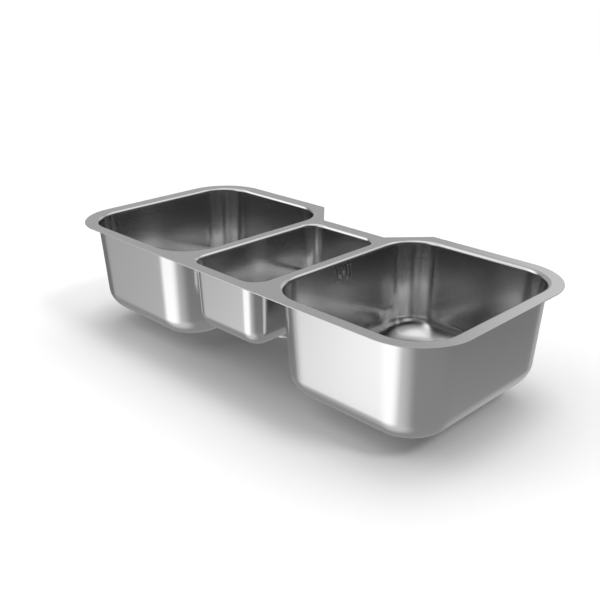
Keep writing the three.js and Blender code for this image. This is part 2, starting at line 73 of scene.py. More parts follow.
# %% Sizes of the pressed steel
MM = 0.001
SHEET = 1.2 * MM
RIM_ROLL = 8 * MM
LIP = 2 * MM
OUTER_CORNER = 110 * MM
NOTCH_DEPTH = 76 * MM
NOTCH_AT_EDGE = 313 * MM
NOTCH_INSIDE = 172 * MM
FLOOR_FALL = 2 * MM
CORNER_SHRINK = 0.5
FLANGE_TOP = cad_high.z
RECESS_DEPTH = 4 * MM
RECESS_RADIUS = 61 * MM
RECESS_FOOT_RADIUS = 58.7 * MM
DRAIN_HOLE_RADIUS = 45 * MM


def bowl_facts(node, corner, draft, fillet):
    """The plan and depth of a bowl, from its CAD node, with the radii of its pressing."""
    low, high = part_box(node)
    middle = (low + high) / 2
    rim = 2 * RIM_ROLL
    return {
        "centre": Vector((middle.x, middle.y, FLANGE_TOP)),
        "half_x": (high.x - low.x - rim) / 2,
        "half_y": (high.y - low.y - rim) / 2,
        "depth": FLANGE_TOP - low.z - SHEET - RECESS_DEPTH - FLOOR_FALL,
        "corner": corner,
        "draft": math.radians(draft),
        "fillet": fillet,
    }


SIDE_SHAPE = {"corner": 80 * MM, "draft": 3.4, "fillet": 48 * MM}
MIDDLE_SHAPE = {"corner": 33 * MM, "draft": 2.3, "fillet": 39 * MM}
bowls = {
    "left": bowl_facts("left_bowl", **SIDE_SHAPE),
    "middle": bowl_facts("middle_bowl", **MIDDLE_SHAPE),
    "right": bowl_facts("right_bowl", **SIDE_SHAPE),
}
for side, facts in bowls.items():
    print(side, "bowl:", round(facts["half_x"] * 2, 4), "by", round(facts["half_y"] * 2, 4),
          "and", round(facts["depth"], 4), "deep")

# %% [markdown]
# ## The camera
#
# The photograph looks down on the front right corner: 45 degrees round from the front and 22.5
# degrees above the ground, straight at the middle of the sink's box. The lens is a little longer
# than a normal one.

# %% Place the camera
VIEW_AZIMUTH = 45
VIEW_ELEVATION = 22.5
VIEW_DISTANCE = 1.720
VIEW_LENS = 49.76
SENSOR_WIDTH = 36


def direction_to(azimuth, elevation):
    """A direction in degrees, counted from the front round to the right, and up from level."""
    a, e = math.radians(azimuth), math.radians(elevation)
    return Vector((math.sin(a) * math.cos(e), -math.cos(a) * math.cos(e), math.sin(e)))


view_back = direction_to(VIEW_AZIMUTH, VIEW_ELEVATION)
camera = bpy.data.objects.new("camera", bpy.data.cameras.new("camera"))
camera.data.lens = VIEW_LENS
camera.data.sensor_width = SENSOR_WIDTH
camera.location = (cad_low + cad_high) / 2 + view_back * VIEW_DISTANCE
camera.rotation_euler = (-view_back).to_track_quat("-Z", "Y").to_euler()
bpy.context.scene.collection.objects.link(camera)
bpy.context.scene.camera = camera
print("camera at", [round(value, 4) for value in camera.location])

# %% [markdown]
# ## Finishes
#
# Brushed stainless steel is a metal with a soft reflection. The brushing leaves fine parallel
# lines, which show as faint streaks of rougher and smoother metal and as tiny grooves. A noise
# texture that is stretched a hundred times along one axis gives such lines. On the walls the
# lines run level round the bowl, on the deck and the floors they run along the sink. A second,
# large and weak noise is the slight unevenness of a pressed sheet, which bends the reflections.

# %% Helpers for materials


def material(name):
    """A node material with its principled shader, and short ways to add and join nodes."""
    made = bpy.data.materials.new(name + "_finish")
    made.use_nodes = True
    nodes, links = made.node_tree.nodes, made.node_tree.links
    shader = nodes["Principled BSDF"]

    def add(kind, inputs=None, **settings):
        node = nodes.new(kind)
        for key, value in settings.items():
            setattr(node, key, value)
        for key, value in (inputs or {}).items():
            if isinstance(value, bpy.types.NodeSocket):
                links.new(value, node.inputs[key])
            else:
                node.inputs[key].default_value = value
        return node

    def join(socket, target):
        links.new(socket, shader.inputs[target])

    return made, shader, add, join


def streaks(add, coordinates, stretch, detail=3.0):
    """Noise drawn out along one axis: the stretch is its scale along X, Y and Z, per metre."""
    mapping = add("ShaderNodeMapping", {"Vector": coordinates, "Scale": stretch})
    return add("ShaderNodeTexNoise", {
        "Vector": mapping.outputs["Vector"], "Scale": 1.0, "Detail": detail, "Roughness": 0.62,
    }).outputs["Fac"]


# %% Brushed steel
ROUGHNESS_SWING = 0.03
TINT_SWING = 0.012
GROOVE_STRENGTH = 0.1
GROOVE_DEPTH = 0.01 * MM
WAVE_SCALE = 9.0
ALONG_SINK = (8.0, 1400.0, 1400.0)
LEVEL = (8.0, 8.0, 1400.0)
TURNED = (40.0, 40.0, 900.0)
DULL = (300.0, 300.0, 300.0)


def brushed_steel(name, colour, roughness, wave, level_stretch, flat_stretch=None):
    """Brushed steel. Level streaks are for walls; flat ones for faces that look up or down."""
    made, shader, add, join = material(name)
    place = add("ShaderNodeTexCoord").outputs["Object"]
    grain = streaks(add, place, level_stretch)
    if flat_stretch:
        looks_up = add("ShaderNodeAttribute", attribute_name="looks_up").outputs["Fac"]
        flat = streaks(add, place, flat_stretch)
        grain = add("ShaderNodeMix", {0: looks_up, 2: grain, 3: flat}).outputs[0]
    unevenness = add("ShaderNodeTexNoise", {"Vector": place, "Scale": WAVE_SCALE, "Detail": 1.0})
    rough = add("ShaderNodeMapRange", {
        "Value": grain, "From Min": 0.25, "From Max": 0.75,
        "To Min": roughness - ROUGHNESS_SWING, "To Max": roughness + ROUGHNESS_SWING,
    })
    join(rough.outputs["Result"], "Roughness")
    tint = add("ShaderNodeMapRange", {
        "Value": grain, "From Min": 0.2, "From Max": 0.8,
        "To Min": colour - TINT_SWING, "To Max": colour + TINT_SWING,
    }).outputs["Result"]
    grey = add("ShaderNodeCombineColor", {"Red": tint, "Green": tint, "Blue": tint})
    join(grey.outputs["Color"], "Base Color")
    soft = add("ShaderNodeBump", {
        "Height": unevenness.outputs["Fac"], "Strength": 1.0, "Distance": wave,
    })
    fine = add("ShaderNodeBump", {
        "Height": grain, "Strength": GROOVE_STRENGTH, "Distance": GROOVE_DEPTH,
        "Normal": soft.outputs["Normal"],
    })
    join(fine.outputs["Normal"], "Normal")
    shader.inputs["Metallic"].default_value = 1.0
    return made


deck_steel = brushed_steel("deck_steel", 0.58, 0.22, 0.03 * MM, ALONG_SINK)
bowl_steel = brushed_steel("bowl_steel", 0.58, 0.19, 0.06 * MM, LEVEL, ALONG_SINK)
strainer_steel = brushed_steel("strainer_steel", 0.64, 0.18, 0.04 * MM, TURNED)
nut_steel = brushed_steel("nut_steel", 0.42, 0.38, 0.04 * MM, DULL)

# %% Rubber and moulded plastic
DUST_SCALE = 60.0


def matt_solid(name, colour, roughness, grain_scale, grain_depth, mottle):
    """Rubber or plastic: a matt body with a moulded grain and a little dust in its colour."""
    made, shader, add, join = material(name)
    place = add("ShaderNodeTexCoord").outputs["Object"]
    grain = add("ShaderNodeTexNoise", {"Vector": place, "Scale": grain_scale, "Detail": 3.0})
    dust = add("ShaderNodeTexNoise", {"Vector": place, "Scale": DUST_SCALE, "Detail": 4.0})
    shade = add("ShaderNodeMapRange", {
        "Value": dust.outputs["Fac"], "From Min": 0.35, "From Max": 0.75,
        "To Min": colour * (1 - mottle), "To Max": colour * (1 + mottle),
    }).outputs["Result"]
    grey = add("ShaderNodeCombineColor", {"Red": shade, "Green": shade, "Blue": shade})
    join(grey.outputs["Color"], "Base Color")
    bump = add("ShaderNodeBump", {
        "Height": grain.outputs["Fac"], "Strength": 0.5, "Distance": grain_depth,
    })
    join(bump.outputs["Normal"], "Normal")
    shader.inputs["Roughness"].default_value = roughness
    return made


black_rubber = matt_solid("black_rubber", 0.022, 0.75, 900.0, 0.08 * MM, mottle=0.3)
housing_plastic = matt_solid("housing_plastic", 0.78, 0.5, 2200.0, 0.05 * MM, mottle=0.06)

# %% [markdown]
# ## Helpers for meshes
#
# Every piece starts as a bmesh. When it is finished it becomes an object at the origin with its
# place in its vertices, gets its material, rides on its body and stands for its CAD node.

# %% Helpers for meshes
SHARP_ANGLE = math.radians(32)
BEVEL_ANGLE = math.radians(40)
MERGE_DISTANCE = 1e-6


def recalculate(bm):
    """Merges points that coincide and turns all faces outwards."""
    bmesh.ops.remove_doubles(bm, verts=bm.verts, dist=MERGE_DISTANCE)
    bmesh.ops.recalc_face_normals(bm, faces=bm.faces)


def scratch_object(bm):
    """A loose object made of a bmesh, which is used up."""
    mesh = bpy.data.meshes.new("scratch")
    bm.to_mesh(mesh)
    bm.free()
    made = bpy.data.objects.new("scratch", mesh)
    bpy.context.scene.collection.objects.link(made)
    return made


def finish_piece(name, bm, finish, node, body):
    """Turns a bmesh into a piece that rides on a body and stands for a CAD node.

    Its shading is weighted by the faces' areas, which keeps flat faces flat beside a rounding.
    """
    recalculate(bm)
    for face in bm.faces:
        face.smooth = True
    for edge in bm.edges:
        edge.smooth = edge.calc_face_angle(0) < SHARP_ANGLE
    piece = scratch_object(bm)
    weighted = piece.modifiers.new("weighted", "WEIGHTED_NORMAL")
    weighted.keep_sharp = True
    rough = piece.data
    evaluated = piece.evaluated_get(bpy.context.evaluated_depsgraph_get())
    mesh = bpy.data.meshes.new_from_object(evaluated)
    piece.modifiers.clear()
    piece.data = mesh
    bpy.data.meshes.remove(rough)
    piece.name = mesh.name = name
    assert len(mesh.polygons) > 0, name + " came out empty"
    mesh.materials.append(finish)
    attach(piece, body)
    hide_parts(node)
    print(name, "has", len(mesh.polygons), "faces")


def boolean(bm, tool_bm, operation):
    """Joins or cuts a bmesh with another one, and gives the result as a new bmesh."""
    base, tool = scratch_object(bm), scratch_object(tool_bm)
    modifier = base.modifiers.new("boolean", "BOOLEAN")
    modifier.object = tool
    modifier.operation = operation
    modifier.solver = "EXACT"
    evaluated = base.evaluated_get(bpy.context.evaluated_depsgraph_get())
    result = bmesh.new()
    result.from_mesh(evaluated.to_mesh())
    for scratch in (base, tool):
        mesh = scratch.data
        bpy.data.objects.remove(scratch)
        bpy.data.meshes.remove(mesh)
    return result


def spun(profile, steps=96):
    """Spins a profile of (radius, height) pairs about Z, as a potter's wheel does."""
    bm = bmesh.new()
    verts = [bm.verts.new((radius, 0, height)) for radius, height in profile]
    edges = [bm.edges.new(pair) for pair in zip(verts, verts[1:])]
    bmesh.ops.spin(
        bm, geom=verts + edges, cent=(0, 0, 0), axis=(0, 0, 1), dvec=(0, 0, 0),
        angle=math.tau, steps=steps, use_merge=True,
    )
    recalculate(bm)
    return bm


def bend(centre_radius, centre_height, radius, start, end, steps=6):
    """Points on an arc of a profile, from one angle to another in degrees."""
    points = []
    for step in range(steps + 1):
        turn = math.radians(start + (end - start) * step / steps)
        out, up = radius * math.cos(turn), radius * math.sin(turn)
        points.append((centre_radius + out, centre_height + up))
    return points


def soften_edges(bm, width):
    """Rounds every sharp edge."""
    sharp = []
    for edge in bm.edges:
        if edge.is_manifold and edge.calc_face_angle(0) > BEVEL_ANGLE:
            sharp.append(edge)
    bmesh.ops.bevel(
        bm, geom=sharp, offset=width, offset_type="OFFSET", segments=2, profile=0.5,
        affect="EDGES", clamp_overlap=True, material=-1,
    )


def new_verts(geometry):
    """The vertices among what an extrusion made."""
    return [item for item in geometry if isinstance(item, bmesh.types.BMVert)]


def stack(outlines, capped=True):
    """A skin drawn up from an outline, whose edges are extruded to each next outline in turn."""
    bm = bmesh.new()
    place = bm.verts.layers.int.new("place")
    verts = [bm.verts.new(point) for point in outlines[0]]
    for number, vert in enumerate(verts):
        vert[place] = number
    edges = [bm.edges.new(pair) for pair in zip(verts, verts[1:] + verts[:1])]
    for outline in outlines[1:]:
        made = bmesh.ops.extrude_edge_only(bm, edges=edges)["geom"]
        verts = set(new_verts(made))
        edges = []
        for item in made:
            if isinstance(item, bmesh.types.BMEdge) and set(item.verts) <= verts:
                edges.append(item)
        for vert in verts:
            vert.co = outline[vert[place]]
    bmesh.ops.remove_doubles(bm, verts=bm.verts, dist=MERGE_DISTANCE)
    if capped:
        bmesh.ops.holes_fill(bm, edges=bm.edges, sides=0)
    bmesh.ops.recalc_face_normals(bm, faces=bm.faces)
    return bm


# %% [markdown]
# ## The bowls
#
# A real bowl is drawn from one sheet: the press pulls a flat blank over a rounded punch. So its
# surface is a stack of rounded rectangles, each a little smaller than the one above it, and that
# is how it is made here: each ring of edges is extruded from the last one and laid out as the
# next rounded rectangle. On the floor the rings turn into circles round the drain. The middle
# bowl is so narrow that the drain's recess bites into the rounded bottom of its walls. There the
# rings are kept clear of the recess and follow the height of the pressed sheet, so the rim of the
# recess rises and falls. At the end the skin is given the sheet's thickness.

# %% Rings of a bowl
CORNER_STEPS = 18
STRAIGHT_STEPS = 24
CORNER_SIGNS = ((1, 1), (-1, 1), (-1, -1), (1, -1))


def rounded_rectangle(half_x, half_y, radius, z):
    """Points round it from +X. Along a straight side they are even as seen from the middle."""
    points = []
    for quarter, (sign_x, sign_y) in enumerate(CORNER_SIGNS):
        for step in range(CORNER_STEPS + 1):
            turn = (quarter + step / CORNER_STEPS) * math.pi / 2
            points.append(Vector((
                sign_x * (half_x - radius) + radius * math.cos(turn),
                sign_y * (half_y - radius) + radius * math.sin(turn),
                z,
            )))
        along_y = quarter % 2
        across, along = (half_x, half_y) if along_y else (half_y, half_x)
        widest = math.atan2(along - radius, across)
        for step in range(1, STRAIGHT_STEPS):
            place = across * math.tan(widest * (1 - 2 * step / STRAIGHT_STEPS))
            x, y = (half_x, sign_y * place) if along_y else (place, sign_y * half_y)
            points.append(Vector((sign_x * x, y, z)))
    return points


def circle_like(points, radius, z=None):
    """A circle whose points lie in the same directions as those of another outline."""
    circle = []
    for point in points:
        flat = Vector((point.x, point.y, 0)).normalized() * radius
        circle.append(flat + Vector((0, 0, point.z if z is None else z)))
    return circle


# %% Profile of a bowl
ROLL_STEPS = 12
WALL_STEPS = 8
FILLET_STEPS = 18
FLOOR_STEPS = 12
RECESS_EDGE = 1.6 * MM
RECESS_FOOT = 1.3 * MM
RECESS_SEAT = 4 * MM
RING_SQUEEZE = 0.35 * MM
FALL_EASE = 29 * MM


def ease(share):
    """Goes from 0 to 1 with a soft start and a soft end."""
    share = min(1.0, max(0.0, share))
    return share * share * (3 - 2 * share)


def fillet_centre(facts):
    """The inset and the height of the centre of the arc between wall and floor."""
    draft, fillet = facts["draft"], facts["fillet"]
    roll_inset = RIM_ROLL * (math.cos(draft) - 1)
    roll_z = RIM_ROLL * (math.sin(draft) - 1)
    centre_z = fillet - facts["depth"]
    wall_inset = roll_inset + (roll_z - centre_z + fillet * math.sin(draft)) * math.tan(draft)
    return wall_inset + fillet * math.cos(draft), centre_z


def wall_rings(facts):
    """Insets from the wall line and heights, from the welded lip to the edge of the floor."""
    draft, fillet = facts["draft"], facts["fillet"]
    rings = [(-RIM_ROLL - LIP, 0.0), (-RIM_ROLL - LIP / 2, 0.0)]
    for step in range(ROLL_STEPS + 1):
        turn = math.pi / 2 + (draft - math.pi / 2) * step / ROLL_STEPS
        rings.append((RIM_ROLL * (math.cos(turn) - 1), RIM_ROLL * (math.sin(turn) - 1)))
    roll_inset, roll_z = rings[-1]
    centre_inset, centre_z = fillet_centre(facts)
    wall_inset = centre_inset - fillet * math.cos(draft)
    wall_z = centre_z - fillet * math.sin(draft)
    for step in range(1, WALL_STEPS):
        share = step / WALL_STEPS
        inset = roll_inset + (wall_inset - roll_inset) * share
        rings.append((inset, roll_z + (wall_z - roll_z) * share))
    for step in range(FILLET_STEPS + 1):
        turn = draft + (math.pi / 2 - draft) * step / FILLET_STEPS
        rings.append((centre_inset - fillet * math.cos(turn), centre_z - fillet * math.sin(turn)))
    return rings


def clear_of_drain(facts, points, keep):
    """Pushes points away from the drain, and up onto the rounded foot of the side walls."""
    centre_inset, centre_z = fillet_centre(facts)
    for point in points:
        if point.xy.length < keep:
            point.xy = point.xy.normalized() * keep
            into_foot = max(0.0, centre_inset - facts["half_x"] + abs(point.x))
            point.z = centre_z - math.sqrt(facts["fillet"] ** 2 - into_foot ** 2)
    return points


def bowl_outlines(facts):
    """All rings of a bowl, from its lip to the drain hole."""
    half_x, half_y, corner = facts["half_x"], facts["half_y"], facts["corner"]
    rings = wall_rings(facts)
    rim = RECESS_RADIUS + RECESS_EDGE
    outlines = []
    for number, (inset, z) in enumerate(rings):
        radius = corner - inset * CORNER_SHRINK if inset > 0 else corner - inset
        points = rounded_rectangle(half_x - inset, half_y - inset, radius, z)
        still_to_come = len(rings) - 1 - number + FLOOR_STEPS
        outlines.append(clear_of_drain(facts, points, rim + still_to_come * RING_SQUEEZE))
    flat_inset, flat_z = rings[-1]
    flat_x = half_x - flat_inset
    flat_corner = corner - flat_inset * CORNER_SHRINK
    edge = rounded_rectangle(flat_x, half_y - flat_inset, flat_corner, flat_z)
    for step in range(1, FLOOR_STEPS + 1):
        targets = circle_like(edge, rim)
        points = [point.lerp(target, step / FLOOR_STEPS) for point, target in zip(edge, targets)]
        clear_of_drain(facts, points, rim + (FLOOR_STEPS - step) * RING_SQUEEZE)
        for point, start in zip(points, edge):
            away = (point.xy.length - DRAIN_HOLE_RADIUS) / (start.xy.length - DRAIN_HOLE_RADIUS)
            beside = (abs(point.x) - flat_x + FALL_EASE) / FALL_EASE
            point.z -= FLOOR_FALL * (1 - ease(away)) * (1 - ease(beside))
        outlines.append(points)
    last = outlines[-1]
    for radius, drop in bend(rim, -RECESS_EDGE, RECESS_EDGE, 90, 165, 3)[1:]:
        outlines.append([point + Vector((0, 0, drop)) for point in circle_like(last, radius)])
    seat = flat_z - FLOOR_FALL - RECESS_DEPTH
    foot = bend(RECESS_FOOT_RADIUS, seat + RECESS_FOOT, RECESS_FOOT, -15, -90, 3)
    for radius, z in foot + [(DRAIN_HOLE_RADIUS + RECESS_SEAT, seat), (DRAIN_HOLE_RADIUS, seat)]:
        outlines.append(circle_like(last, radius, z))
    return outlines


# %% Build a bowl's skin and give it thickness
LEVEL_FROM = 0.55
LEVEL_BLEND = 0.3


def bowl_mesh(facts):
    """A bowl. The layer looks_up is 1 where the sheet is level and 0 where it is steep."""
    bm = stack(bowl_outlines(facts), capped=False)
    looks_up = bm.verts.layers.float.new("looks_up")
    if sum(face.normal.z * face.calc_area() for face in bm.faces) < 0:
        bmesh.ops.reverse_faces(bm, faces=bm.faces)
    bm.normal_update()
    for vert in bm.verts:
        vert[looks_up] = min(1.0, max(0.0, (vert.normal.z - LEVEL_FROM) / LEVEL_BLEND))
    bmesh.ops.solidify(bm, geom=bm.faces, thickness=SHEET)
    bmesh.ops.translate(bm, verts=bm.verts, vec=facts["centre"])
    return bm


for side in ("left", "middle"):
    finish_piece(side + "_bowl_skin", bowl_mesh(bowls[side]), bowl_steel, side + "_bowl", "sink")

# %% [markdown]
# ## The overflow in the right bowl
#
# Four upright slots and a screw sit in the inner wall, just under the rim, and a plastic housing
# is clamped to the back of the wall. The wall leans by the draft, so all of it is laid out flat
# first and then leaned and moved onto the wall together. The slots are cut with a boolean, and
# their edges are rounded as a punch leaves them.

# %% Place the overflow on its wall
SLOT_PITCH = 9.2 * MM
SLOT_WIDTH = 5 * MM
SLOT_HEIGHT = 29 * MM
SLOT_EDGE = 0.9 * MM
SLOT_EDGE_TURNS = (0.0, 0.35, 0.7, 1.05, 1.4)
OVERFLOW_DEPTH = 27.4 * MM
SEAT_GAP = 0.3 * MM
CUT_OVERRUN = 3 * MM


def onto_overflow_wall(bm):
    """Leans what is laid out upright on X = 0 and moves it onto the right bowl's inner wall."""
    facts = bowls["right"]
    roll_inset = RIM_ROLL * (math.cos(facts["draft"]) - 1)
    straight = OVERFLOW_DEPTH - RIM_ROLL * (1 - math.sin(facts["draft"]))
    inset = roll_inset + straight * math.tan(facts["draft"])
    wall = facts["centre"] + Vector((inset - facts["half_x"], 0, -OVERFLOW_DEPTH))
    bmesh.ops.transform(bm, verts=bm.verts, matrix=Matrix.Rotation(-facts["draft"], 4, "Y"))
    bmesh.ops.translate(bm, verts=bm.verts, vec=wall)
    return bm


def round_ended(x, radius, half_straight, upright=False, steps=32):
    """An outline with round ends on a plane of constant X: two half circles, pulled apart."""
    points = []
    for step in range(steps):
        turn = (step + 0.5) / steps * math.tau
        along = radius * math.cos(turn) + math.copysign(half_straight, math.cos(turn))
        across = radius * math.sin(turn)
        points.append(Vector((x, across, along) if upright else (x, along, across)))
    return points


def slot_tool(offset):
    """A punch for one slot. It widens towards the bowl, which rounds the edge that is seen."""
    radius = SLOT_WIDTH / 2
    half_straight = SLOT_HEIGHT / 2 - radius
    levels = [(CUT_OVERRUN, SLOT_EDGE)]
    for turn in SLOT_EDGE_TURNS:
        levels.append((SLOT_EDGE * (math.cos(turn) - 1), SLOT_EDGE * (1 - math.sin(turn))))
    levels.append((-SHEET - CUT_OVERRUN, 0.0))
    bm = stack([round_ended(x, radius + grown, half_straight, upright=True) for x, grown in levels])
    bmesh.ops.translate(bm, verts=bm.verts, vec=(0, offset, 0))
    return bm


def bar(radius, front, back):
    """A round bar along X."""
    bm = bmesh.new()
    bmesh.ops.create_cone(
        bm, cap_ends=True, segments=32, radius1=radius, radius2=radius, depth=front - back,
    )
    bmesh.ops.transform(bm, verts=bm.verts, matrix=Matrix.Rotation(math.pi / 2, 4, "Y"))
    bmesh.ops.translate(bm, verts=bm.verts, vec=((front + back) / 2, 0, 0))
    return bm


def gather(parts):
    """Puts several loose bmeshes together in one."""
    whole = bmesh.new()
    for part in parts:
        mesh = bpy.data.meshes.new("scratch")
        part.to_mesh(mesh)
        part.free()
        whole.from_mesh(mesh)
        bpy.data.meshes.remove(mesh)
    return whole


# %% Cut the right bowl
SCREW_RADIUS = 2.5 * MM
SCREW_HOLE = SCREW_RADIUS + 0.4 * MM
punches = [slot_tool(place * SLOT_PITCH) for place in (-2, -1, 1, 2)]
punches.append(bar(SCREW_HOLE, CUT_OVERRUN, -SHEET - CUT_OVERRUN))
right_skin = boolean(bowl_mesh(bowls["right"]), onto_overflow_wall(gather(punches)), "DIFFERENCE")
finish_piece("right_bowl_skin", right_skin, bowl_steel, "right_bowl", "sink")

# %% [markdown]
# ## The deck
#
# The deck is laser-cut from flat sheet. A single quad is cut four times across where the notch
# for the tap begins and ends, the two inner corners of the notch are pushed forward, and the four
# outer corners are rounded with a vertex bevel. A narrow border round it, a little lower outside,
# is the broken edge. Its face is then filled again round the three bowl rims, and the sheet gets
# its thickness.

# %% Build the deck
BROKEN_EDGE = 0.3 * MM


def deck_mesh():
    """The deck, with its notch and its three holes."""
    bm = bmesh.new()
    half = (cad_high - cad_low) / 2
    bmesh.ops.create_grid(bm, x_segments=1, y_segments=1, size=1)
    bmesh.ops.scale(bm, verts=bm.verts, vec=(half.x, half.y, 1))
    corners = [vert.co.copy() for vert in bm.verts]
    cuts = [sign * width / 2 for sign in (-1, 1) for width in (NOTCH_AT_EDGE, NOTCH_INSIDE)]
    for cut in cuts:
        everything = list(bm.verts) + list(bm.edges) + list(bm.faces)
        bmesh.ops.bisect_plane(bm, geom=everything, plane_co=(cut, 0, 0), plane_no=(1, 0, 0))
    for vert in bm.verts:
        if vert.co.y > 0 and abs(vert.co.x) < NOTCH_INSIDE / 2 + MERGE_DISTANCE:
            vert.co.y -= NOTCH_DEPTH
    bmesh.ops.dissolve_faces(bm, faces=bm.faces)
    outer = []
    for vert in bm.verts:
        if min((vert.co - corner).length for corner in corners) < MERGE_DISTANCE:
            outer.append(vert)
    bmesh.ops.bevel(
        bm, geom=outer, offset=OUTER_CORNER, offset_type="OFFSET", segments=28, profile=0.5,
        affect="VERTICES", material=-1,
    )
    outside = list(bm.verts)
    border = bmesh.ops.inset_region(
        bm, faces=list(bm.faces), thickness=BROKEN_EDGE, use_boundary=True, use_even_offset=True,
    )["faces"]
    bmesh.ops.translate(bm, verts=outside, vec=(0, 0, -BROKEN_EDGE))
    inner = [face for face in bm.faces if face not in set(border)]
    bmesh.ops.delete(bm, geom=inner, context="FACES_ONLY")
    outline = []
    for edge in bm.edges:
        if all(abs(vert.co.z) < MERGE_DISTANCE for vert in edge.verts):
            outline.append(edge)
    print("the deck's outline has", len(outline), "edges")
    for facts in bowls.values():
        rim = RIM_ROLL + LIP
        half_x, half_y, corner = (facts[size] + rim for size in ("half_x", "half_y", "corner"))
        points = rounded_rectangle(half_x, half_y, corner, 0)
        hole = [bm.verts.new(point + facts["centre"] * Vector((1, 1, 0))) for point in points]
        outline += [bm.edges.new(pair) for pair in zip(hole, hole[1:] + hole[:1])]
    bmesh.ops.triangle_fill(bm, use_beauty=True, edges=outline, normal=(0, 0, 1))
    for vert in new_verts(bmesh.ops.extrude_face_region(bm, geom=list(bm.faces))["geom"]):
        vert.co.z = -SHEET
    bmesh.ops.recalc_face_normals(bm, faces=bm.faces)
    bmesh.ops.translate(bm, verts=bm.verts, vec=(0, 0, FLANGE_TOP))
    return bm


finish_piece("deck", deck_mesh(), deck_steel, "deck_flange", "sink")

# %% [markdown]
# ## The strainers
#
# Each strainer is a turned shape: a cup with a flange, pulled down by a ring nut under the bowl,
# and a basket that lifts out. All of them are spun from a profile. Heights are counted from the
# bowl's floor at the edge of the recess.

# %% Heights in a drain
CUP_RADIUS = 43 * MM
CUP_HEIGHT = 32 * MM
CUP_FLANGE_RADIUS = 57 * MM
CUP_THROAT = 3.2 * MM
CUP_BEND = 6 * MM
GASKET = 1.5 * MM
GASKET_BORE = 46.5 * MM
GASKET_RADIUS = 56 * MM
GASKET_EDGE = 0.3 * MM
BACKING = 2 * MM
BACKING_RADIUS = 55 * MM
BACKING_EDGE = 0.4 * MM
NUT_HEIGHT = 8 * MM
NUT_EDGE = 0.6 * MM
STOPPER_THICKNESS = 4 * MM
BASKET_SHEET = 0.8 * MM
BASKET_HEIGHT = 21 * MM
FLANGE_LOW = -RECESS_DEPTH + 2 * SEAT_GAP + GASKET
BACKING_TOP = -RECESS_DEPTH - SHEET - SEAT_GAP
NUT_TOP = BACKING_TOP - BACKING - SEAT_GAP
CUP_FLOOR = -CUP_HEIGHT + SHEET
STOPPER_LOW = CUP_FLOOR + SEAT_GAP
BASKET_LOW = STOPPER_LOW + STOPPER_THICKNESS + SEAT_GAP
BASKET_TOP = BASKET_LOW + BASKET_HEIGHT

# %% The cup
OUTLET_RADIUS = 21 * MM
OUTLET_HUB = 7 * MM
OUTLET_SURROUND = OUTLET_RADIUS + 8 * MM
SPOKE_WIDTH = 5 * MM
THREAD_PITCH = 1.8 * MM
THREAD_DEPTH = 0.45 * MM
THREADS = 7


def thread(top, radius):
    """The outline of a few thread ridges, going down."""
    points = []
    for turn in range(THREADS):
        high = top - turn * THREAD_PITCH
        points += [(radius, high), (radius - THREAD_DEPTH, high - THREAD_PITCH * 0.4),
                   (radius - THREAD_DEPTH, high - THREAD_PITCH * 0.6)]
    return points + [(radius, top - THREADS * THREAD_PITCH)]


def cup_mesh():
    """The cup with its flange, its thread and the four outlets in its floor."""
    inside = CUP_RADIUS - SHEET
    inside_bend = CUP_BEND - SHEET
    flange_top = FLANGE_LOW + SHEET
    lip = SHEET / 2
    profile = [(0, CUP_FLOOR), (OUTLET_SURROUND, CUP_FLOOR)]
    profile += bend(inside - inside_bend, CUP_FLOOR + inside_bend, inside_bend, -90, 0)
    profile += bend(inside + CUP_THROAT, flange_top - CUP_THROAT, CUP_THROAT, 180, 90)
    profile += bend(CUP_FLANGE_RADIUS - lip, FLANGE_LOW + lip, lip, 90, -90)
    profile += bend(inside + CUP_THROAT, flange_top - CUP_THROAT, CUP_THROAT - SHEET, 90, 180)
    profile += thread(BACKING_TOP, CUP_RADIUS)
    profile += bend(CUP_RADIUS - CUP_BEND, -CUP_HEIGHT + CUP_BEND, CUP_BEND, 0, -90)
    profile += [(OUTLET_SURROUND, -CUP_HEIGHT), (0, -CUP_HEIGHT)]
    outlets = gather([outlet_tool(quarter) for quarter in range(4)])
    return boolean(spun(profile), outlets, "DIFFERENCE")


def outlet_tool(quarter):
    """A quarter ring between two spokes."""
    bm = bmesh.new()
    outer = math.asin(SPOKE_WIDTH / 2 / OUTLET_RADIUS)
    inner = math.asin(SPOKE_WIDTH / 2 / OUTLET_HUB)
    outside = bend(0, 0, OUTLET_RADIUS, math.degrees(outer), 90 - math.degrees(outer), 12)
    inside = bend(0, 0, OUTLET_HUB, 90 - math.degrees(inner), math.degrees(inner), 6)
    low = -CUP_HEIGHT - CUT_OVERRUN
    face = bm.faces.new([bm.verts.new((x, y, low)) for x, y in outside + inside])
    verts = new_verts(bmesh.ops.extrude_face_region(bm, geom=[face])["geom"])
    bmesh.ops.translate(bm, verts=verts, vec=(0, 0, SHEET + 2 * CUT_OVERRUN))
    bmesh.ops.recalc_face_normals(bm, faces=bm.faces)
    return turned_by(bm, quarter / 4)


# %% The washer and the ring nut
NUT_RADIUS = 50.5 * MM
LUG_RADIUS = 54.5 * MM
NUT_STEPS = 120
LUG_PERIOD = NUT_STEPS // 6
LUG_FACES = 6


def ring_mesh(inner, outer, low, high, edge):
    """A flat ring with small rounded edges."""
    corners = (
        (outer - edge, low + edge), (outer - edge, high - edge),
        (inner + edge, high - edge), (inner + edge, low + edge),
    )
    profile = []
    for quarter, (radius, height) in enumerate(corners):
        start = 90 * quarter - 90
        profile += bend(radius, height, edge, start, start + 90, 3)
    return spun(profile + profile[:1])


